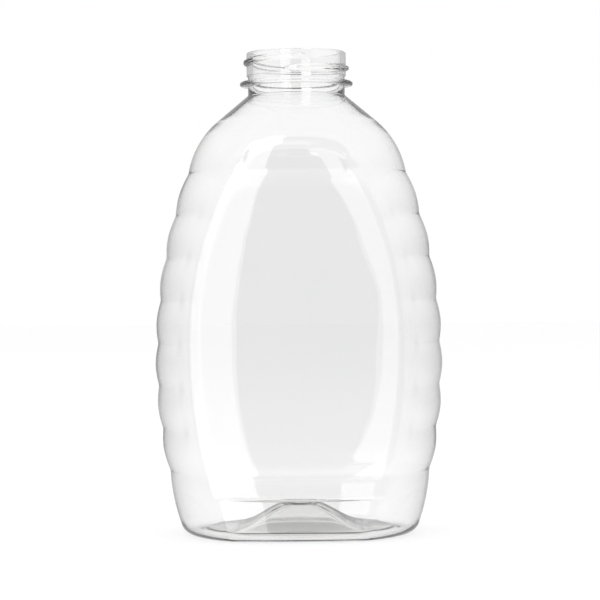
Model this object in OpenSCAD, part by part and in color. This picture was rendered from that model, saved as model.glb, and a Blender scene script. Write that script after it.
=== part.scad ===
// Clear oval honey bottle with ribbed sides, two label panels and a 38 mm screw neck.
// The real bottle is one blown skin, divided here into its natural zones, which meet
// face to face. Millimetres. The origin is on the floor under the middle of the base,
// +Z is up, +X points to the right-hand ribbed side and -Y to the front label panel.

/* [Ribbed sides] */
// Radius of the sides at their widest, at the bottom of a groove
side_r = 49.7; // [47:0.1:54]
// Height of the widest point
widest_z = 61.4; // [55:0.2:70]
// Radius of the upright curve that the groove bottoms follow
side_curve_r = 193; // [185:1:260]
// Height of the lowest groove
first_groove_z = 22.3; // [20:0.1:26]
// Distance from groove to groove
groove_pitch = 14.9; // [13.5:0.1:15.5]
// Number of grooves on each side
groove_count = 8; // [7:1:8]
// Radius of the round ribs between the grooves
rib_r = 32.5; // [22:0.5:60]
// Plain strip between the groove ends and the edge of a label panel
groove_gap = 3; // [1:0.5:5]
// Length over which a groove runs out to nothing
groove_run = 6; // [3:0.5:9]
// Outward swell of the plain wall below the lowest groove
low_swell = 0.7; // [0:0.1:1]
// Wall thickness of the body
wall = 0.6; // [0.5:0.1:1.2]

/* [Shoulder] */
// Radius of the shoulder's curve, seen from the front
shoulder_r = 30; // [26:1:34]
// Lean of the wall at the start of the shoulder, in degrees off upright
shoulder_lean = 9.5; // [6:0.5:14]
// Lean of the shoulder's cone, in degrees off upright
cone_lean = 50; // [46:1:56]

/* [Label panels] */
// Half of the panel's width at its widest
panel_half_w = 37; // [33:0.5:38.5]
// Height at which the panel is widest
panel_widest_z = 67; // [60:1:72]
// Radius of the panel's side edge above its widest point
panel_upper_curve_r = 125; // [120:1:150]
// Radius of the panel's side edge below its widest point
panel_lower_curve_r = 200; // [170:1:230]
// Radius of the panel's gentle bow across its widest point
panel_bow_r = 233; // [180:1:300]
// How fast the bow tightens toward the top of the panel
bow_power_up = 1.45; // [0.8:0.05:1.6]
// How fast the bow tightens toward the bottom of the panel
bow_power_down = 2.55; // [1:0.05:3]
// Top of the panel, above the highest groove
panel_top_rise = 11; // [9:0.5:12]
// Height of the sloping ledge at the top of the panel
top_ledge = 4; // [2:0.5:6]
// Radius of the panel's upper corners
panel_corner_r = 6; // [3:0.5:7]

/* [Heel and base] */
// Height of the top of the heel, where the panels and ribbed sides begin
heel_h = 15.7; // [14:0.1:18]
// Height of the small ledge at the bottom of each panel
low_ledge = 1.7; // [1:0.1:2.5]
// Radius of the side wall where the rounded heel begins
foot_r = 42.1; // [41:0.1:44]
// Half width of the heel's flat front at its top
heel_half_w = 28; // [24:0.5:30]
// Half width of the heel's flat front at the rounded heel
heel_foot_half_w = 25.4; // [23:0.2:27]
// Radius of the bow across the heel's flat front
heel_bow_r = 126; // [100:2:180]
// Radius of the rounded heel
heel_r = 5; // [4:0.1:6]
// Lean of the wall where it meets the rounded heel, in degrees off upright
heel_lean = 12; // [8:1:16]
// Width of the flat ring that stands on the floor
stand_w = 1.5; // [1:0.1:2]
// Width of the rounded lip inside the standing ring
lip_w = 3.5; // [2.5:0.1:4.5]
// Height of that lip's inner edge
lip_h = 1.2; // [0.8:0.1:2]
// Height of the underside's middle above the floor
push_up_h = 9.6; // [6:0.1:14]
// Half width of the push-up's four-sided foot
push_up_half = 22; // [18:0.5:24]
// Radius of the gate disc in the middle of the push-up
gate_r = 5.8; // [4:0.1:8]
// Thickness of the gate disc
gate_t = 2.2; // [1.4:0.1:3]
// Wall thickness of the base
base_wall = 0.9; // [0.6:0.1:1.2]

/* [Neck finish] */
// Radius of the neck's bore
bore_r = 15.5; // [14.5:0.1:16]
// Radius of the neck under the thread
neck_r = 17.5; // [17.2:0.1:17.8]
// Radius of the neck at its root, above and below the transfer bead
root_r = 17.05; // [16.8:0.05:17.2]
// Height of the neck from its root to the mouth
neck_h = 15.1; // [14.5:0.1:16]
// Drop from the mouth to the step under the thread
step_drop = 8.3; // [7.8:0.1:8.6]
// Radius of the mouth's rounded edge
rim_round = 0.6; // [0.3:0.1:0.8]
// Outer radius of the thread
thread_r = 18.6; // [18.3:0.1:18.8]
// Rise of the thread in one turn
thread_pitch = 4.23; // [3.8:0.01:4.5]
// Length of the thread, in turns
thread_turns = 1.07; // [1:0.01:1.15]
// Width of the thread at the neck
thread_w = 2.4; // [1.8:0.1:2.6]
// Drop from the mouth to the middle of the thread's upper end
thread_drop = 2.3; // [2.1:0.1:2.5]
// Direction of the thread's upper end, in degrees right of the front
thread_start = 13.6; // [0:0.1:360]
// Turn over which each end of the thread fades, in degrees
thread_fade = 14; // [8:1:30]
// Outer radius of the transfer bead
bead_r = 19.9; // [19.2:0.1:20.6]
// Thickness of the transfer bead
bead_t = 1.6; // [1.2:0.1:2]
// Drop from the mouth to the middle of the transfer bead
bead_drop = 11.1; // [10.8:0.1:11.6]

/* [Hidden] */
$fn = 96;
side_steps = 16;
panel_steps = 8;
rib_steps = 5;
clear_pet = [0.86, 0.88, 0.88, 0.45];

last_groove_z = first_groove_z + groove_pitch * (groove_count - 1);
panel_top_z = last_groove_z + panel_top_rise;
body_top_z = panel_top_z + 1;
foot_z = heel_r * (1 - sin(heel_lean));
heel_top_z = heel_h - low_ledge;
around = 2 * (side_steps + panel_steps);

// Shoulder: a curve that starts at the highest groove, then a cone up to the neck
curve_mid_r = groove_bottom(last_groove_z) - shoulder_r * cos(shoulder_lean);
curve_mid_z = last_groove_z - shoulder_r * sin(shoulder_lean);
cone_r = curve_mid_r + shoulder_r * cos(cone_lean);
cone_z = curve_mid_z + shoulder_r * sin(cone_lean);
root_z = cone_z + (cone_r - root_r) / tan(cone_lean);
mouth_z = root_z + neck_h;
step_z = mouth_z - step_drop;
bead_z = mouth_z - bead_drop;

function mix(a, b, t) = a + (b - a) * t;
function ease(t) = let (u = min(1, max(0, t))) u * u * (3 - 2 * u);

// Radius of the sides at height z
function groove_bottom(z) =
    side_r - side_curve_r + sqrt(pow(side_curve_r, 2) - pow(z - widest_z, 2));
function arc_height(u) = sqrt(pow(rib_r, 2) - pow(u, 2)) - sqrt(pow(rib_r, 2) - pow(groove_pitch / 2, 2));
function rib_swell(z) =
    let (turns = (z - first_groove_z) / groove_pitch)
    arc_height(groove_pitch * (turns - floor(turns) - 0.5));
function plain_swell(z) =
    z < first_groove_z + groove_pitch / 2 || z > last_groove_z - groove_pitch / 2
        ? rib_swell(z) : arc_height(0);
function low_wall(z) =
    let (t = (z - foot_z) / (first_groove_z - foot_z))
    mix(foot_r, groove_bottom(first_groove_z), t) + 4 * low_swell * t * (1 - t);
function shoulder_at(z) =
    z < cone_z ? curve_mid_r + sqrt(pow(shoulder_r, 2) - pow(z - curve_mid_z, 2))
        : cone_r - (z - cone_z) * tan(cone_lean);
function side_at(z, ribs) =
    z > last_groove_z ? shoulder_at(z)
        : z < first_groove_z ? low_wall(z)
        : groove_bottom(z) + mix(plain_swell(z), rib_swell(z), ribs);

// Outline of a label panel: its half width, edge depth, bow radius and middle depth at height z
function panel_half_at(z) =
    let (r = z > panel_widest_z ? panel_upper_curve_r : panel_lower_curve_r)
    panel_half_w - r + sqrt(pow(r, 2) - pow(z - panel_widest_z, 2));
function bow_at(z) =
    panel_bow_r * pow(panel_half_at(z) / panel_half_w, z > panel_widest_z ? bow_power_up : bow_power_down);
function edge_depth(z, half) = sqrt(pow(side_at(z, 0), 2) - pow(half, 2));
function edge_angle(z, half) = atan2(edge_depth(z, half), half);

// Distance from the axis, in direction a, of a shallow arc through the edge of a flat
function bowed(z, half, bow, a) =
    let (mid = edge_depth(z, half) - sqrt(pow(bow, 2) - pow(half, 2)))
    mid * sin(a) + sqrt(pow(bow, 2) - pow(mid * cos(a), 2));

// The sides, with grooves that run out before the panel
function side_skin(z, edge, a) =
    let (run = (edge - a) * PI / 180 * side_at(z, 0))
    side_at(z, ease((run - groove_gap) / groove_run));

// The panel, with a ledge and round corners at its top
function panel_skin(z, a) =
    let (r = bowed(z, panel_half_at(z), bow_at(z), a))
    let (x = r * cos(a) - panel_half_at(panel_top_z - top_ledge) + panel_corner_r)
    let (bend = min(max(x, 0), panel_corner_r))
    let (drop = panel_corner_r - sqrt(pow(panel_corner_r, 2) - pow(bend, 2)))
    mix(r, side_at(z, 0), ease((z - panel_top_z + top_ledge + drop) / top_ledge));

// Directions of the columns of points round the bottle: they crowd to each panel's edge
function columns(edge) = [
    for (half_turn = [0, 180])
        for (i = [0 : side_steps + panel_steps - 1])
            half_turn + (i < side_steps ? -edge + 2 * edge * i / side_steps
                : edge + (180 - 2 * edge) * (i - side_steps) / panel_steps)
];
function folded(a) = atan2(abs(sin(a)), abs(cos(a)));
function at(r, a, z) = [r * cos(a), r * sin(a), z];

// A row of points round the ribbed sides and panels at height z, moved in by inset
function body_row(z, inset) =
    let (edge = edge_angle(z, panel_half_at(z)))
    [for (a = columns(edge))
        let (f = folded(a))
        at((f <= edge + 0.001 ? side_skin(z, edge, f) : panel_skin(z, f)) - inset, a, z)];

// A row round the heel. Its height, its inset from the wall and the point's own height differ
function heel_row(z, inset, point_z) =
    let (half = mix(heel_foot_half_w, heel_half_w, (z - foot_z) / (heel_top_z - foot_z)))
    let (edge = edge_angle(z, half))
    [for (a = columns(edge))
        let (f = folded(a))
        at((f <= edge ? side_at(z, 0) : bowed(z, half, heel_bow_r, f)) - inset, a, point_z)];

// Heights of the rows: each rib has the same number of steps
body_rows = concat(
    [heel_h, mix(heel_h, first_groove_z, 0.5)],
    [for (i = [0 : rib_steps * (groove_count - 1)]) first_groove_z + i * groove_pitch / rib_steps],
    [for (i = [1 : 3]) mix(last_groove_z, panel_top_z - top_ledge, i / 3)],
    [for (i = [1 : 3]) mix(panel_top_z - top_ledge, panel_top_z, i / 3)],
    [body_top_z]
);
heel_turns = [90, 74, 58, 42, 27, heel_lean];

function wall_at(turn) = mix(wall, base_wall, (turn - heel_lean) / (90 - heel_lean));
function heel_inset(turn, r) = heel_r * cos(heel_lean) - r * cos(turn);
stand_inset = heel_inset(90, heel_r) + stand_w;

// A closed skin between an outer and an inner grid of points. The rows of a grid climb from
// the middle of the base to the top, and its columns run round the bottle
module skin(outer, inner, wrap = false) {
    rows = len(outer);
    cols = len(outer[0]);
    spans = wrap ? cols : cols - 1;
    points = [for (grid = [outer, inner]) for (row = grid) for (p = row) p];
    function o(i, j) = i * cols + j % cols;
    function n(i, j) = rows * cols + o(i, j);
    walls = [for (i = [0 : rows - 2]) for (j = [0 : spans - 1]) each [
        [o(i, j), o(i + 1, j), o(i + 1, j + 1)],
        [o(i, j), o(i + 1, j + 1), o(i, j + 1)],
        [n(i, j), n(i + 1, j + 1), n(i + 1, j)],
        [n(i, j), n(i, j + 1), n(i + 1, j + 1)]
    ]];
    rims = [for (j = [0 : spans - 1]) each [
        [o(0, j), o(0, j + 1), n(0, j + 1)],
        [o(0, j), n(0, j + 1), n(0, j)],
        [o(rows - 1, j + 1), o(rows - 1, j), n(rows - 1, j)],
        [o(rows - 1, j + 1), n(rows - 1, j), n(rows - 1, j + 1)]
    ]];
    ends = wrap ? [] : [for (i = [0 : rows - 2]) each [
        [n(i, 0), n(i + 1, 0), o(i + 1, 0)],
        [n(i, 0), o(i + 1, 0), o(i, 0)],
        [o(i, cols - 1), o(i + 1, cols - 1), n(i, cols - 1)],
        [o(i + 1, cols - 1), n(i + 1, cols - 1), n(i, cols - 1)]
    ]];
    polyhedron(points, concat(walls, rims, ends), convexity = 10);
}

// The part of the body between two columns
module body_zone(first, last) {
    outer = [for (z = body_rows) let (row = body_row(z, 0)) [for (j = [first : last]) row[j % around]]];
    inner = [for (z = body_rows) let (row = body_row(z, wall)) [for (j = [first : last]) row[j % around]]];
    color(clear_pet) skin(outer, inner);
}

module right_ribbed_side() {
    body_zone(0, side_steps);
}

module back_label_panel() {
    body_zone(side_steps, side_steps + panel_steps);
}

module left_ribbed_side() {
    body_zone(around / 2, around / 2 + side_steps);
}

module front_label_panel() {
    body_zone(around / 2 + side_steps, around);
}

// Heel: the standing ring, the rounded heel and the plain wall up to the panels' low ledge
module heel() {
    outer = concat(
        [heel_row(foot_z, stand_inset, 0)],
        [for (t = heel_turns) heel_row(foot_z, heel_inset(t, heel_r), heel_r * (1 - sin(t)))],
        [for (i = [1 : 3]) let (z = mix(foot_z, heel_top_z, i / 3)) heel_row(z, 0, z)],
        [body_row(heel_h, 0)]
    );
    inner = concat(
        [heel_row(foot_z, stand_inset, base_wall)],
        [for (t = heel_turns) let (r = heel_r - wall_at(t))
            heel_row(foot_z, heel_inset(t, r), heel_r - r * sin(t))],
        [for (i = [1 : 3]) let (z = mix(foot_z, heel_top_z, i / 3)) heel_row(z, wall, z)],
        [body_row(heel_h, wall)]
    );
    color(clear_pet) skin(outer, inner, wrap = true);
}

// Push-up: a low four-sided tent inside the standing ring, open in the middle for the gate disc
even_columns = [for (j = [0 : around - 1]) 360 * j / around - 60];
lip_row = [for (a = even_columns)
    let (f = folded(a))
    let (edge = edge_angle(foot_z, heel_foot_half_w))
    let (r = f <= edge ? side_at(foot_z, 0) : bowed(foot_z, heel_foot_half_w, heel_bow_r, f))
    r - stand_inset - lip_w];
tent_row = [for (a = even_columns) push_up_half / max(abs(cos(a)), abs(sin(a)))];

function base_row(radii, z) = [for (j = [0 : around - 1]) at(radii[j], even_columns[j], z)];
function base_rows(lift) = [
    base_row([for (a = even_columns) gate_r], push_up_h + lift),
    base_row([for (j = [0 : around - 1]) min(tent_row[j], lip_row[j] - 0.5)], lip_h + 0.2 + lift),
    base_row(lip_row, lip_h + lift),
    base_row([for (r = lip_row) r + lip_w * 0.6], lip_h * 0.3 + lift),
    heel_row(foot_z, stand_inset, lift)
];

module push_up_base() {
    color(clear_pet) skin(base_rows(0), base_rows(base_wall), wrap = true);
}

// Gate disc: the thick spot left in the middle of the base
module gate_disc() {
    color(clear_pet)
        translate([0, 0, push_up_h])
            cylinder(r = gate_r * cos(180 / around), h = gate_t);
}

// Shoulder: the round curve and cone from the panels up to the neck
module shoulder() {
    steps = 6;
    low_turn = asin((body_top_z - curve_mid_z) / shoulder_r);
    outer = [for (i = [0 : steps]) let (t = mix(low_turn, cone_lean, i / steps))
        [curve_mid_r + shoulder_r * cos(t), curve_mid_z + shoulder_r * sin(t)]];
    inner = [for (i = [steps : -1 : 1]) outer[i] - wall * [1, 0.4]];
    color(clear_pet)
        rotate_extrude()
            polygon(concat(outer, [[root_r, root_z], [bore_r, root_z]], inner,
                [[outer[0][0] - wall, body_top_z]]));
}

// Neck finish: the plain tube with its step and rounded mouth
module neck_finish() {
    rim = [for (t = [0 : 15 : 90])
        [neck_r - rim_round + rim_round * cos(t), mouth_z - rim_round + rim_round * sin(t)]];
    color(clear_pet)
        rotate_extrude()
            polygon(concat([[bore_r, root_z], [root_r, root_z], [root_r, step_z], [neck_r, step_z]],
                rim, [[bore_r, mouth_z]]));
}

// Transfer bead: a thin round-edged ring under the thread
module transfer_bead() {
    r = bead_t / 2;
    color(clear_pet)
        translate([0, 0, bead_z])
            rotate_extrude()
                polygon(concat([[root_r, -r]],
                    [for (t = [-90 : 15 : 90]) [bead_r - r + r * cos(t), r * sin(t)]],
                    [[root_r, r]]));
}

// Thread: one rounded ridge that winds down to the right of a cap's turn, faded at its ends
module closure_thread() {
    step = 360 / 72;
    total = 360 * thread_turns;
    count = ceil(total / step);
    seat_r = neck_r / cos(step / 2);
    function fade(t) = ease(min(t, total - t) / thread_fade);
    function ring(t) =
        let (a = -90 + thread_start - t)
        let (z = mouth_z - thread_drop - thread_pitch * t / 360)
        let (f = mix(0.25, 1, fade(t)))
        let (h = thread_w / 2 * f)
        let (r = seat_r + (thread_r - seat_r) * f)
        [at(seat_r, a, z - h), at(seat_r, a, z + h), at(mix(seat_r, r, 0.8), a, z + h * 0.55),
            at(r, a, z + h * 0.2), at(r, a, z - h * 0.2), at(mix(seat_r, r, 0.8), a, z - h * 0.55)];
    points = [for (i = [0 : count]) each ring(total * i / count)];
    sides = [for (i = [0 : count - 1]) for (k = [0 : 5]) each [
        [6 * i + k, 6 * i + (k + 1) % 6, 6 * i + 6 + (k + 1) % 6],
        [6 * i + k, 6 * i + 6 + (k + 1) % 6, 6 * i + 6 + k]
    ]];
    caps = [[5, 4, 3, 2, 1, 0], [for (k = [0 : 5]) 6 * count + k]];
    color(clear_pet) polyhedron(points, concat(sides, caps), convexity = 6);
}

neck_finish();
closure_thread();
transfer_bead();
shoulder();
front_label_panel();
back_label_panel();
left_ribbed_side();
right_ribbed_side();
heel();
push_up_base();
gate_disc();
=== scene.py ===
# Clear oval honey bottle: the looks. Lengths are in millimetres until the mesh is made.
import math

import bpy
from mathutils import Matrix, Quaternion, Vector


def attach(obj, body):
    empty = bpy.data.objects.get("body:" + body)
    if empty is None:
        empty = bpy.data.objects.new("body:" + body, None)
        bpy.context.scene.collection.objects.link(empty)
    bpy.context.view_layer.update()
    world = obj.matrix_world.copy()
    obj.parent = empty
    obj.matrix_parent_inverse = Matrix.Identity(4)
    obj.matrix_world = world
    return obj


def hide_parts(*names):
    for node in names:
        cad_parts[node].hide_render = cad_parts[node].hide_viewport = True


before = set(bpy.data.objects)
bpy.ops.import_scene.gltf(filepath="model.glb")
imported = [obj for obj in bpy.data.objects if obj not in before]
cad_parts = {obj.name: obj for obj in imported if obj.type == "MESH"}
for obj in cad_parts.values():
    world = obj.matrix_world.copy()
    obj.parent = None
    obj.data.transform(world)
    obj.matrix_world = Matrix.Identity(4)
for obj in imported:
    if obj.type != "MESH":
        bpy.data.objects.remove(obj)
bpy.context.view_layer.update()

MM = 0.001

# Sides
side_r = 49.7
widest_z = 61.4
side_curve_r = 193
first_groove_z = 22.3
groove_pitch = 14.9
groove_count = 8
rib_r = 32.5
groove_gap = 3
groove_run = 6
groove_round = 0.6
low_swell = 0.7
wall = 0.6
trim = 0.06

# Shoulder
shoulder_r = 30
shoulder_lean = math.radians(9.5)
cone_lean = math.radians(50)
shoulder_drop = 0.4

# Label panels
panel_half_w = 37
panel_widest_z = 67
panel_upper_curve_r = 125
panel_lower_curve_r = 200
panel_bow_r = 233
bow_power_up = 1.45
bow_power_down = 2.55
panel_top_rise = 11
top_ledge = 4
panel_corner_r = 6
crease_round = 0.45

# Heel and base
heel_h = 15.7
low_ledge = 1.7
foot_r = 42.1
heel_half_w = 28
heel_foot_half_w = 25.4
heel_bow_r = 126
heel_r = 5
heel_lean = math.radians(12)
stand_w = 1.5
lip_w = 3.5
lip_h = 1.2
push_up_h = 9.6
push_up_half = 22
gate_r = 5.8
gate_t = 2.2
base_wall = 0.9
centre_r = 0.05
tent_step = 0.2
tent_gap = 0.5
tent_bend = 0.06
tent_power = 16

# Neck finish
bore_r = 15.5
neck_r = 17.5
root_r = 17.05
neck_h = 15.1
step_drop = 8.3
rim_round = 0.6
thread_r = 18.6
thread_pitch = 4.23
thread_turns = 1.07
thread_w = 2.4
thread_drop = 2.3
thread_start = 13.6
thread_fade = 14
thread_top_drop = 1
thread_thin = 0.3
thread_flank = 0.7
bead_r = 19.9
bead_t = 1.6
bead_drop = 11.1
bead_margin = 0.2
root_margin = 0.35
step_margin = 0.25
root_bend = 0.1
bead_bend = 0.15
step_bend = 0.12
bore_round = 0.3

# Mesh
side_columns = 72
panel_columns = 40
rib_rows = 20
crowding = 0.4
low_rows = 8
high_rows = 8
top_rows = 16
top_lead = 2
tent_rows = 22
lip_rows = 8
heel_turns = 14
heel_rows = 8
ledge_rows = 8
curve_rows = 16
cone_rows = 8
corner_rows = 4
bead_rows = 12
thread_rows = 56
rim_rows = 6
bore_rows = 4
least_step = 0.01


def mix(a, b, t):
    return a + (b - a) * t


def ease(t):
    u = min(1, max(0, t))
    return u * u * (3 - 2 * u)


def groove_bottom(z):
    return side_r - side_curve_r + math.sqrt(side_curve_r ** 2 - (z - widest_z) ** 2)


last_groove_z = first_groove_z + groove_pitch * (groove_count - 1)
panel_top_z = last_groove_z + panel_top_rise
body_top_z = panel_top_z + 1
foot_z = heel_r * (1 - math.sin(heel_lean))
heel_top_z = heel_h - low_ledge
curve_mid_r = groove_bottom(last_groove_z) - shoulder_r * math.cos(shoulder_lean)
curve_mid_z = last_groove_z - shoulder_r * math.sin(shoulder_lean)
cone_r = curve_mid_r + shoulder_r * math.cos(cone_lean)
cone_z = curve_mid_z + shoulder_r * math.sin(cone_lean)
root_z = cone_z + (cone_r - root_r) / math.tan(cone_lean)
mouth_z = root_z + neck_h
step_z = mouth_z - step_drop
bead_z = mouth_z - bead_drop
stand_inset = heel_r * math.cos(heel_lean) + stand_w


def arc_height(u):
    return math.sqrt(rib_r ** 2 - u ** 2) - math.sqrt(rib_r ** 2 - (groove_pitch / 2) ** 2)


def rib_swell(z):
    turns = (z - first_groove_z) / groove_pitch
    near = abs(turns - round(turns)) * groove_pitch
    return arc_height(groove_pitch / 2 - math.hypot(near, groove_round) + groove_round)


def plain_swell(z):
    low = z < first_groove_z + groove_pitch / 2
    high = z > last_groove_z - groove_pitch / 2
    return rib_swell(z) if low or high else arc_height(0)


def low_wall(z):
    t = (z - foot_z) / (first_groove_z - foot_z)
    return mix(foot_r, groove_bottom(first_groove_z), t) + 4 * low_swell * t * (1 - t)


def shoulder_at(z):
    if z < cone_z:
        return curve_mid_r + math.sqrt(shoulder_r ** 2 - (z - curve_mid_z) ** 2)
    return cone_r - (z - cone_z) * math.tan(cone_lean)


def side_at(z, ribs):
    if z > last_groove_z:
        return shoulder_at(z)
    if z < first_groove_z:
        return low_wall(z)
    return groove_bottom(z) + mix(plain_swell(z), rib_swell(z), ribs)


def panel_half_at(z):
    r = panel_upper_curve_r if z > panel_widest_z else panel_lower_curve_r
    return panel_half_w - r + math.sqrt(r ** 2 - (z - panel_widest_z) ** 2)


def bow_at(z):
    power = bow_power_up if z > panel_widest_z else bow_power_down
    return panel_bow_r * (panel_half_at(z) / panel_half_w) ** power


def edge_depth(z, half):
    return math.sqrt(side_at(z, 0) ** 2 - half ** 2)


def edge_angle(z, half):
    return math.atan2(edge_depth(z, half), half)


def bowed(z, half, bow, a):
    mid = edge_depth(z, half) - math.sqrt(bow ** 2 - half ** 2)
    return mid * math.sin(a) + math.sqrt(bow ** 2 - (mid * math.cos(a)) ** 2)


def cut(depth):
    """How far a flat takes the wall in, with a small round at its edge."""
    return (depth + math.hypot(depth, crease_round)) / 2


def folded(a):
    return math.atan2(abs(math.sin(a)), abs(math.cos(a)))


def body_at(z, a):
    f = folded(a)
    half = panel_half_at(z)
    plain = side_at(z, 0)
    run = (edge_angle(z, half) - f) * plain
    panel = bowed(z, half, bow_at(z), f)
    x = panel * math.cos(f) - panel_half_at(panel_top_z - top_ledge) + panel_corner_r
    bend = min(max(x, 0), panel_corner_r)
    drop = panel_corner_r - math.sqrt(panel_corner_r ** 2 - bend ** 2)
    ledge = ease((z - panel_top_z + top_ledge + drop) / top_ledge)
    ribbed = side_at(z, ease((run - groove_gap) / groove_run))
    return ribbed - (1 - ledge) * cut(plain - panel) - trim


def heel_half_at(z):
    return mix(heel_foot_half_w, heel_half_w, (z - foot_z) / (heel_top_z - foot_z))


def heel_at(z, a):
    plain = side_at(z, 0)
    return plain - cut(plain - bowed(z, heel_half_at(z), heel_bow_r, folded(a))) - trim


def crowd(x):
    """Moves a place between -1 and 1 toward the nearer end."""
    return (1 + crowding) * x - crowding * x ** 3


def columns(edge):
    """Directions round the bottle, crowded to each panel's edge."""
    turns = []
    for half_turn in (0, math.pi):
        for i in range(side_columns):
            turns.append(half_turn + edge * crowd(2 * i / side_columns - 1))
        for i in range(panel_columns):
            turn = (math.pi / 2 - edge) * crowd(2 * i / panel_columns - 1)
            turns.append(half_turn + math.pi / 2 + turn)
    return turns


# Rows of points, from the middle of the base up to the mouth
outer = []
inner = []
marks = {}


def mark(name):
    marks[name] = (len(outer) - 1, len(inner) - 1)


def row(edge, radius, z):
    """A row of points at height z. The radius is a number or a function of the direction."""
    points = []
    for a in columns(edge):
        r = radius(a) if callable(radius) else radius
        points.append((r * math.cos(a), r * math.sin(a), z))
    return points


foot_edge = edge_angle(foot_z, heel_foot_half_w)


def lip_at(a):
    return heel_at(foot_z, a) - stand_inset - lip_w


def tent_at(a):
    """The foot of the push-up: a square with softened corners, kept inside the lip."""
    square = (abs(math.cos(a)) ** tent_power + abs(math.sin(a)) ** tent_power) ** (1 / tent_power)
    return min(push_up_half / square, lip_at(a) - tent_gap)


for r in (centre_r, 1.5, 3, 4.5, gate_r):
    outer.append(row(foot_edge, r, push_up_h))
gate_top = push_up_h + gate_t
gate_edge = (
    (centre_r, 0), (2.5, 0), (4.5, 0.02), (5, 0.1), (5.35, 0.35), (5.6, 0.8),
    (gate_r, gate_t - base_wall),
)
for r, drop in gate_edge:
    inner.append(row(foot_edge, r, gate_top - drop))
mark("gate")

for i in range(1, tent_rows + 1):
    t = i / tent_rows
    z = mix(push_up_h, lip_h + tent_step, t - tent_bend * math.sin(2 * math.pi * t))
    for grid, lift in ((outer, 0), (inner, base_wall)):
        grid.append(row(foot_edge, lambda a: mix(gate_r, tent_at(a), t), z + lift))
for i in range(lip_rows + 1):
    t = i / lip_rows
    for grid, lift in ((outer, 0), (inner, base_wall)):
        grid.append(row(foot_edge, lambda a: lip_at(a) + lip_w * t, lip_h * (1 - ease(t)) + lift))
mark("base")

for i in range(heel_turns + 1):
    turn = mix(math.pi / 2, heel_lean, i / heel_turns)
    t = mix(base_wall, wall, i / heel_turns)
    for grid, r in ((outer, heel_r), (inner, heel_r - t)):
        inset = heel_r * math.cos(heel_lean) - r * math.cos(turn)
        grid.append(row(foot_edge, lambda a: heel_at(foot_z, a) - inset, heel_r - r * math.sin(turn)))
for i in range(1, heel_rows + 1):
    z = mix(foot_z, heel_top_z, i / heel_rows)
    edge = edge_angle(z, heel_half_at(z))
    for grid, inset in ((outer, 0), (inner, wall)):
        grid.append(row(edge, lambda a: heel_at(z, a) - inset, z))
for i in range(1, ledge_rows + 1):
    t = i / ledge_rows
    z = mix(heel_top_z, heel_h, t)
    edge = mix(edge_angle(z, heel_half_at(heel_top_z)), edge_angle(z, panel_half_at(z)), t)
    for grid, inset in ((outer, 0), (inner, wall)):
        grid.append(row(edge, lambda a: mix(heel_at(z, a), body_at(z, a), ease(t)) - inset, z))
mark("heel")

heights = [mix(heel_h, first_groove_z, i / low_rows) for i in range(1, low_rows)]
for rib in range(groove_count - 1):
    for i in range(rib_rows):
        middle = first_groove_z + groove_pitch * (rib + 0.5)
        heights.append(middle + groove_pitch / 2 * crowd(2 * i / rib_rows - 1))
top_start = panel_top_z - top_ledge - top_lead
heights += [mix(last_groove_z, top_start, i / high_rows) for i in range(high_rows + 1)]
heights += [mix(top_start, panel_top_z, i / top_rows) for i in range(1, top_rows + 1)]
heights.append(body_top_z)
for z in heights:
    edge = edge_angle(z, panel_half_at(min(z, panel_top_z)))
    for grid, inset in ((outer, 0), (inner, wall)):
        grid.append(row(edge, lambda a: body_at(z, a) - inset, z))
mark("body")

top_edge = edge_angle(body_top_z, panel_half_at(panel_top_z))
low_turn = math.asin((body_top_z - curve_mid_z) / shoulder_r)
for i in range(1, curve_rows + 1):
    t = mix(low_turn, cone_lean, i / curve_rows)
    r = curve_mid_r + shoulder_r * math.cos(t) - trim * (1 - i / curve_rows)
    z = curve_mid_z + shoulder_r * math.sin(t)
    outer.append(row(top_edge, r, z))
    inner.append(row(top_edge, r - wall, z - wall * shoulder_drop * ease(i / curve_rows)))
for i in range(1, cone_rows + 1):
    t = i / cone_rows
    outer.append(row(top_edge, mix(cone_r, root_r, t), mix(cone_z, root_z, t)))
    r = mix(cone_r - wall, bore_r, t)
    inner.append(row(top_edge, r, mix(cone_z - wall * shoulder_drop, root_z, t)))
mark("shoulder")


def softened(points, bend):
    """A line of (radius, height) points with each inner corner rounded."""
    line = [points[0]]
    for before, corner, after in zip(points, points[1:], points[2:]):
        legs = [Vector(p) - Vector(corner) for p in (before, after)]
        start, end = [Vector(corner) + v.normalized() * min(bend, v.length / 2) for v in legs]
        for i in range(corner_rows + 1):
            t = i / corner_rows
            line.append(tuple(start.lerp(Vector(corner), t).lerp(Vector(corner).lerp(end, t), t)))
    line.append(points[-1])
    kept = [line[0]]
    for point in line[1:]:
        if math.dist(point, kept[-1]) > least_step:
            kept.append(point)
    kept[-1] = line[-1]
    return kept


def thread_height(a, z):
    total = 360 * thread_turns
    first = (thread_start - 90 - math.degrees(a)) % 360
    height = 0
    for t in (first, first + 360):
        if t < total:
            middle = mouth_z - thread_drop - thread_pitch * t / 360
            fade = ease(min(t, total - t) / thread_fade)
            off = abs(z - middle) / (thread_w / 2 * mix(thread_thin, 1, fade))
            height += (thread_r - neck_r) * fade * ease((1 - off) / thread_flank)
    return height


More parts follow.
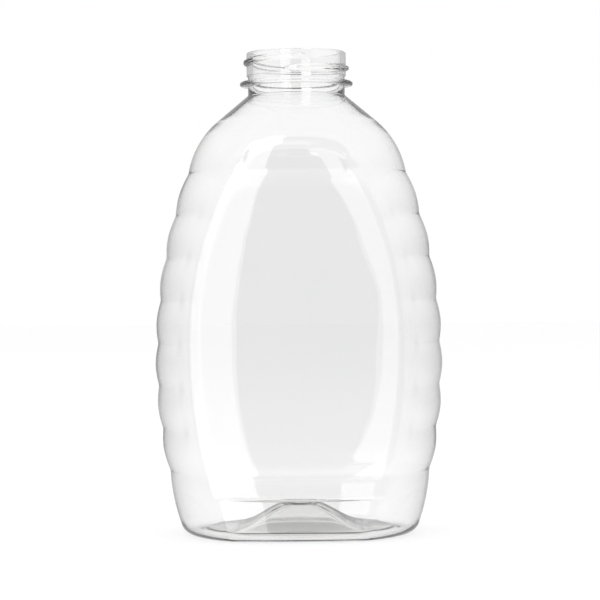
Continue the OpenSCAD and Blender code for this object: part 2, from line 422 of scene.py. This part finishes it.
bead_low = bead_z - bead_t / 2
bead_high = bead_z + bead_t / 2
root_line = [(root_r, root_z), (root_r, bead_low - root_margin), (root_r, bead_low - bead_margin)]
for r, z in softened(root_line, root_bend)[1:]:
    outer.append(row(top_edge, r, z))
inner.append(row(top_edge, bore_r, bead_low - bead_margin))
mark("under_bead")
round_r = bead_t / 2
bead_line = [(root_r, bead_low - bead_margin), (root_r, bead_low)]
for i in range(bead_rows + 1):
    turn = math.pi * (i / bead_rows - 0.5)
    bead_line.append((bead_r - round_r + round_r * math.cos(turn), bead_z + round_r * math.sin(turn)))
bead_line += [(root_r, bead_high), (root_r, bead_high + bead_margin)]
for r, z in softened(bead_line, bead_bend)[1:]:
    outer.append(row(top_edge, r, z))
inner.append(row(top_edge, bore_r, bead_high + bead_margin))
mark("bead")
thread_low_z = step_z + step_margin
step_line = [
    (root_r, bead_high + bead_margin), (root_r, step_z), (neck_r, step_z), (neck_r, thread_low_z),
]
for r, z in softened(step_line, step_bend)[1:]:
    outer.append(row(top_edge, r, z))
inner.append(row(top_edge, bore_r, thread_low_z))
mark("step")
thread_top_z = mouth_z - thread_top_drop
for i in range(1, thread_rows + 1):
    z = mix(thread_low_z, thread_top_z, i / thread_rows)
    outer.append(row(top_edge, lambda a: neck_r + thread_height(a, z), z))
inner.append(row(top_edge, bore_r, thread_top_z))
mark("thread")
for i in range(rim_rows + 1):
    turn = math.pi / 2 * i / rim_rows
    r = neck_r - rim_round + rim_round * math.cos(turn)
    outer.append(row(top_edge, r, mouth_z - rim_round + rim_round * math.sin(turn)))
for i in range(bore_rows + 1):
    turn = math.pi / 2 * i / bore_rows
    r = bore_r + bore_round * (1 - math.cos(turn))
    inner.append(row(top_edge, r, mouth_z - bore_round * (1 - math.sin(turn))))
mark("mouth")


# Materials
pet_ior = 1.575
pet_shadow = 0.95
tint_spread = 0.006
cloud_scale = 30


def new_material(name):
    material = bpy.data.materials.new(name)
    material.use_nodes = True
    material.node_tree.nodes.clear()
    return material, material.node_tree.nodes, material.node_tree.links


def clear_plastic(name, tint, haze, ripple_scale, ripple):
    """Clear moulded plastic with slow ripples in its skin. It lets most of a lamp's light through."""
    material, nodes, links = new_material(name)
    output = nodes.new("ShaderNodeOutputMaterial")
    plastic = nodes.new("ShaderNodeBsdfPrincipled")
    plastic.inputs["Transmission Weight"].default_value = 1
    plastic.inputs["IOR"].default_value = pet_ior
    place = nodes.new("ShaderNodeTexCoord")
    cloud = nodes.new("ShaderNodeTexNoise")
    cloud.inputs["Scale"].default_value = cloud_scale
    cloud.inputs["Detail"].default_value = 3
    links.new(place.outputs["Object"], cloud.inputs["Vector"])
    colours = nodes.new("ShaderNodeValToRGB")
    colours.color_ramp.elements[0].color = tuple(c - tint_spread for c in tint) + (1,)
    colours.color_ramp.elements[1].color = tuple(c + tint_spread for c in tint) + (1,)
    links.new(cloud.outputs["Fac"], colours.inputs["Fac"])
    links.new(colours.outputs["Color"], plastic.inputs["Base Color"])
    rough = nodes.new("ShaderNodeMapRange")
    rough.inputs["To Min"].default_value = haze * 0.5
    rough.inputs["To Max"].default_value = haze * 1.5
    links.new(cloud.outputs["Fac"], rough.inputs["Value"])
    links.new(rough.outputs["Result"], plastic.inputs["Roughness"])
    ripples = nodes.new("ShaderNodeTexNoise")
    ripples.inputs["Scale"].default_value = ripple_scale
    ripples.inputs["Detail"].default_value = 1
    links.new(place.outputs["Object"], ripples.inputs["Vector"])
    bump = nodes.new("ShaderNodeBump")
    bump.inputs["Strength"].default_value = 1
    bump.inputs["Distance"].default_value = ripple * MM
    links.new(ripples.outputs["Fac"], bump.inputs["Height"])
    links.new(bump.outputs["Normal"], plastic.inputs["Normal"])
    through = nodes.new("ShaderNodeBsdfTransparent")
    through.inputs["Color"].default_value = (pet_shadow, pet_shadow, pet_shadow, 1)
    path = nodes.new("ShaderNodeLightPath")
    choice = nodes.new("ShaderNodeMixShader")
    links.new(path.outputs["Is Shadow Ray"], choice.inputs["Fac"])
    links.new(plastic.outputs["BSDF"], choice.inputs[1])
    links.new(through.outputs["BSDF"], choice.inputs[2])
    links.new(choice.outputs["Shader"], output.inputs["Surface"])
    return material


neck_clear = clear_plastic(
    "clear_plastic_neck", tint=(0.985, 0.985, 0.985), haze=0.006, ripple_scale=60, ripple=0.01
)
body_clear = clear_plastic(
    "clear_plastic_body", tint=(0.982, 0.982, 0.982), haze=0.008, ripple_scale=45, ripple=0.08
)
# The base and gate plastic is tinted darker than the body's: painted shade, which darkens the bottle's
# base
base_clear = clear_plastic(
    "clear_plastic_base", tint=(0.93, 0.93, 0.92), haze=0.012, ripple_scale=60, ripple=0.06
)
gate_clear = clear_plastic(
    "clear_plastic_gate", tint=(0.9, 0.9, 0.89), haze=0.06, ripple_scale=400, ripple=0.04
)

# The faces where two zones of the one skin meet are plain see-through, so the skin looks whole
seam, seam_nodes, seam_links = new_material("seam_inside_the_skin")
seam_output = seam_nodes.new("ShaderNodeOutputMaterial")
seam_shader = seam_nodes.new("ShaderNodeBsdfTransparent")
seam_links.new(seam_shader.outputs["BSDF"], seam_output.inputs["Surface"])

# Pieces: zones of one skin, with the whole skin's normals so that no seam shows
around = 2 * (side_columns + panel_columns)
points = [p for grid in (outer, inner) for line in grid for p in line]
inner_start = len(outer) * around


def o(i, j):
    return i * around + j % around


def n(i, j):
    return inner_start + o(i, j)


def walls(out_rows, in_rows, cols):
    faces = []
    for i in range(*out_rows):
        for j in range(*cols):
            faces.append((o(i, j), o(i, j + 1), o(i + 1, j + 1), o(i + 1, j)))
    for i in range(*in_rows):
        for j in range(*cols):
            faces.append((n(i, j), n(i + 1, j), n(i + 1, j + 1), n(i, j + 1)))
    return faces


def centre_faces():
    return [tuple(o(0, j) for j in reversed(range(around))), tuple(n(0, j) for j in range(around))]


def mouth_faces(cols):
    top, top_in = len(outer) - 1, len(inner) - 1
    return [(n(top_in, j + 1), n(top_in, j), o(top, j), o(top, j + 1)) for j in range(*cols)]


everywhere = (0, around)
whole = bpy.data.meshes.new("whole_skin")
whole.from_pydata(
    [Vector(p) * MM for p in points], [],
    walls((0, len(outer) - 1), (0, len(inner) - 1), everywhere) + centre_faces() + mouth_faces(everywhere),
)
whole.update()
normals = [tuple(v.normal) for v in whole.vertices]
bpy.data.meshes.remove(whole)


def zone(bands, cols=everywhere):
    """Skin faces and seam faces of the bands between pairs of marks. The first starts in the middle."""
    skin, seams = [], []
    for low, high in bands:
        (a, b), (c, d) = marks.get(low, (0, 0)), marks[high]
        skin += walls((a, c), (b, d), cols)
        if low == "middle":
            skin += centre_faces()
        else:
            seams += [(o(a, j), n(b, j), n(b, j + 1), o(a, j + 1)) for j in range(*cols)]
        if high == "mouth":
            skin += mouth_faces(cols)
        else:
            seams += [(n(d, j + 1), n(d, j), o(c, j), o(c, j + 1)) for j in range(*cols)]
        if cols != everywhere:
            for k in range(c - a):
                first, last = cols[0], cols[1]
                seams.append((o(a + k, first), o(a + k + 1, first), n(b + k + 1, first), n(b + k, first)))
                seams.append((o(a + k + 1, last), o(a + k, last), n(b + k, last), n(b + k + 1, last)))
    return skin, seams


def piece(node, material, bands, cols=everywhere):
    skin, seams = zone(bands, cols)
    used = sorted({k for face in skin + seams for k in face})
    new = {k: i for i, k in enumerate(used)}
    mesh = bpy.data.meshes.new("skin_" + node)
    mesh.from_pydata(
        [Vector(points[k]) * MM for k in used], [],
        [tuple(new[k] for k in face) for face in skin + seams],
    )
    mesh.materials.append(material)
    mesh.materials.append(seam)
    for face in mesh.polygons[len(skin):]:
        face.material_index = 1
    mesh.shade_smooth()
    mesh.normals_split_custom_set_from_vertices([normals[k] for k in used])
    made = bpy.data.objects.new("skin_" + node, mesh)
    bpy.context.scene.collection.objects.link(made)
    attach(made, "root")
    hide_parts(node)


half_around = side_columns + panel_columns
body_band = [("heel", "body")]
piece("gate_disc", gate_clear, [("middle", "gate")])
piece("push_up_base", base_clear, [("gate", "base")])
piece("heel", body_clear, [("base", "heel")])
piece("right_ribbed_side", body_clear, body_band, (0, side_columns))
piece("back_label_panel", body_clear, body_band, (side_columns, half_around))
piece("left_ribbed_side", body_clear, body_band, (half_around, half_around + side_columns))
piece("front_label_panel", body_clear, body_band, (half_around + side_columns, around))
piece("shoulder", body_clear, [("body", "shoulder")])
piece("transfer_bead", neck_clear, [("under_bead", "bead")])
piece("closure_thread", neck_clear, [("step", "thread")])
piece("neck_finish", neck_clear, [("shoulder", "under_bead"), ("bead", "step"), ("thread", "mouth")])


# Studio
def floor_surface(name, glow_strength, albedo, painted_shadow_r):
    """A plain pale matt floor that also glows, with a painted shadow: the glow is dimmer in a round patch
    under the bottle. The bottle doesn't mirror it.
    """
    material, nodes, links = new_material(name)
    output = nodes.new("ShaderNodeOutputMaterial")
    glow = nodes.new("ShaderNodeEmission")
    place = nodes.new("ShaderNodeTexCoord")
    distance = nodes.new("ShaderNodeVectorMath")
    distance.operation = "LENGTH"
    links.new(place.outputs["Object"], distance.inputs[0])
    # Painted shadow: the glow falls to 0.3 of its strength in a round patch under the bottle
    painted_shadow = nodes.new("ShaderNodeMapRange")
    painted_shadow.interpolation_type = "SMOOTHSTEP"
    painted_shadow.inputs["From Min"].default_value = painted_shadow_r * 0.5
    painted_shadow.inputs["From Max"].default_value = painted_shadow_r
    painted_shadow.inputs["To Min"].default_value = glow_strength * 0.3
    painted_shadow.inputs["To Max"].default_value = glow_strength
    links.new(distance.outputs["Value"], painted_shadow.inputs["Value"])
    links.new(painted_shadow.outputs["Result"], glow.inputs["Strength"])
    matt = nodes.new("ShaderNodeBsdfDiffuse")
    matt.inputs["Color"].default_value = (albedo, albedo, albedo, 1)
    both = nodes.new("ShaderNodeAddShader")
    links.new(glow.outputs["Emission"], both.inputs[0])
    links.new(matt.outputs["BSDF"], both.inputs[1])
    path = nodes.new("ShaderNodeLightPath")
    unseen = nodes.new("ShaderNodeBsdfTransparent")
    choice = nodes.new("ShaderNodeMixShader")
    side = nodes.new("ShaderNodeNewGeometry")
    either = nodes.new("ShaderNodeMath")
    either.operation = "MAXIMUM"
    links.new(path.outputs["Glossy Depth"], either.inputs[0])
    links.new(side.outputs["Backfacing"], either.inputs[1])
    links.new(either.outputs["Value"], choice.inputs["Fac"])
    links.new(both.outputs["Shader"], choice.inputs[1])
    links.new(unseen.outputs["BSDF"], choice.inputs[2])
    links.new(choice.outputs["Shader"], output.inputs["Surface"])
    return material


floor_half = 4.5
floor_z = -0.0002
corners = [(-1, -1), (1, -1), (1, 1), (-1, 1)]
floor_mesh = bpy.data.meshes.new("studio_floor")
floor_mesh.from_pydata([(x * floor_half, y * floor_half, 0) for x, y in corners], [], [(0, 1, 2, 3)])
# The floor's glow has a painted shadow under the bottle, out to 32 mm from the middle
floor_mesh.materials.append(floor_surface("floor_pale", glow_strength=0.565, albedo=0.42, painted_shadow_r=0.032))
floor = bpy.data.objects.new("studio_floor", floor_mesh)
floor.location.z = floor_z
bpy.context.scene.collection.objects.link(floor)

# The studio's walls: white, mirrored dark in front, where the room is unlit, and bright below
world = bpy.data.worlds.new("studio")
world.use_nodes = True
world_nodes, world_links = world.node_tree.nodes, world.node_tree.links
place = world_nodes.new("ShaderNodeTexCoord")
parts = world_nodes.new("ShaderNodeSeparateXYZ")
world_links.new(place.outputs["Generated"], parts.inputs["Vector"])
mirrored = world_nodes.new("ShaderNodeMapRange")
mirrored.interpolation_type = "SMOOTHSTEP"
mirrored.inputs["From Min"].default_value = -0.95
mirrored.inputs["From Max"].default_value = -0.62
mirrored.inputs["To Min"].default_value = 0.08
world_links.new(parts.outputs["Y"], mirrored.inputs["Value"])
height = world_nodes.new("ShaderNodeMath")
height.operation = "ABSOLUTE"
world_links.new(parts.outputs["Z"], height.inputs[0])
sides = world_nodes.new("ShaderNodeMapRange")
sides.inputs["From Min"].default_value = 0.05
sides.inputs["From Max"].default_value = 0.5
sides.inputs["To Min"].default_value = 0.55
sides.inputs["To Max"].default_value = 0.92
world_links.new(height.outputs["Value"], sides.inputs["Value"])
world_links.new(sides.outputs["Result"], mirrored.inputs["To Max"])
table_glow = world_nodes.new("ShaderNodeMapRange")
table_glow.inputs["From Min"].default_value = -0.45
table_glow.inputs["From Max"].default_value = -0.8
table_glow.inputs["To Min"].default_value = 0
table_glow.inputs["To Max"].default_value = 0.95
world_links.new(parts.outputs["Z"], table_glow.inputs["Value"])
brighter = world_nodes.new("ShaderNodeMath")
brighter.operation = "MAXIMUM"
world_links.new(mirrored.outputs["Result"], brighter.inputs[0])
world_links.new(table_glow.outputs["Result"], brighter.inputs[1])
path = world_nodes.new("ShaderNodeLightPath")
strength = world_nodes.new("ShaderNodeMapRange")
strength.inputs["To Min"].default_value = 1
world_links.new(path.outputs["Glossy Depth"], strength.inputs["Value"])
world_links.new(brighter.outputs["Value"], strength.inputs["To Max"])
background = world_nodes["Background"]
background.inputs["Color"].default_value = (1, 1, 1, 1)
world_links.new(strength.outputs["Result"], background.inputs["Strength"])
bpy.context.scene.world = world


bottle_middle = 0.085


def softbox(name, turn, distance, height, size, radiance, upright):
    """An area light that faces the bottle, turn degrees right of the front, or stays upright."""
    lamp = bpy.data.lights.new(name, "AREA")
    lamp.shape = "RECTANGLE"
    lamp.size, lamp.size_y = size
    lamp.energy = radiance * math.pi * size[0] * size[1]
    box = bpy.data.objects.new(name, lamp)
    a = math.radians(turn)
    box.location = (distance * math.sin(a), -distance * math.cos(a), height)
    aim = Vector((0, 0, bottle_middle)) - box.location
    if upright:
        aim.z = 0
    box.rotation_mode = "QUATERNION"
    box.rotation_quaternion = aim.to_track_quat("-Z", "Y")
    bpy.context.scene.collection.objects.link(box)
    return box


softbox_edge = 12.8
softbox_span = 24
softbox_far = 1.6
softbox_w = 2 * softbox_far * math.tan(math.radians(softbox_span / 2))
softbox_turn = -softbox_edge - softbox_span / 2
softbox("key_softbox", softbox_turn, softbox_far, 0.1, (softbox_w, 4.2), 1.5, upright=True)
top_light = softbox("top_softbox", 0, 0.01, 1.5, (1.0, 1.0), 1.2, upright=False)
top_light.visible_glossy = False
top_light.visible_transmission = False

# Camera, at the photograph's viewing angle
camera_far = 0.78
camera_height = 0.086
camera_turn = math.radians(0.7)
camera_dip = math.radians(0.31)
camera_roll = math.radians(-0.55)
focal_px = 2210
frame_px = 600
sensor_w = 36
sideways_shift = 0.0027
camera_data = bpy.data.cameras.new("camera")
camera_data.sensor_width = sensor_w
camera_data.lens = sensor_w * focal_px / frame_px
camera_data.shift_x = sideways_shift
camera_data.clip_start = 0.01
camera = bpy.data.objects.new("camera", camera_data)
camera.location = (camera_far * math.sin(camera_turn), -camera_far * math.cos(camera_turn), camera_height)
look = Vector((-math.sin(camera_turn), math.cos(camera_turn), -math.tan(camera_dip)))
camera.rotation_mode = "QUATERNION"
camera.rotation_quaternion = look.to_track_quat("-Z", "Y") @ Quaternion((0, 0, 1), camera_roll)
bpy.context.scene.collection.objects.link(camera)
bpy.context.scene.camera = camera

bpy.context.scene.view_settings.view_transform = "Standard"
light_bounces = 20
clear_bounces = 32
bpy.context.scene.cycles.max_bounces = light_bounces
bpy.context.scene.cycles.transmission_bounces = light_bounces
bpy.context.scene.cycles.transparent_max_bounces = clear_bounces
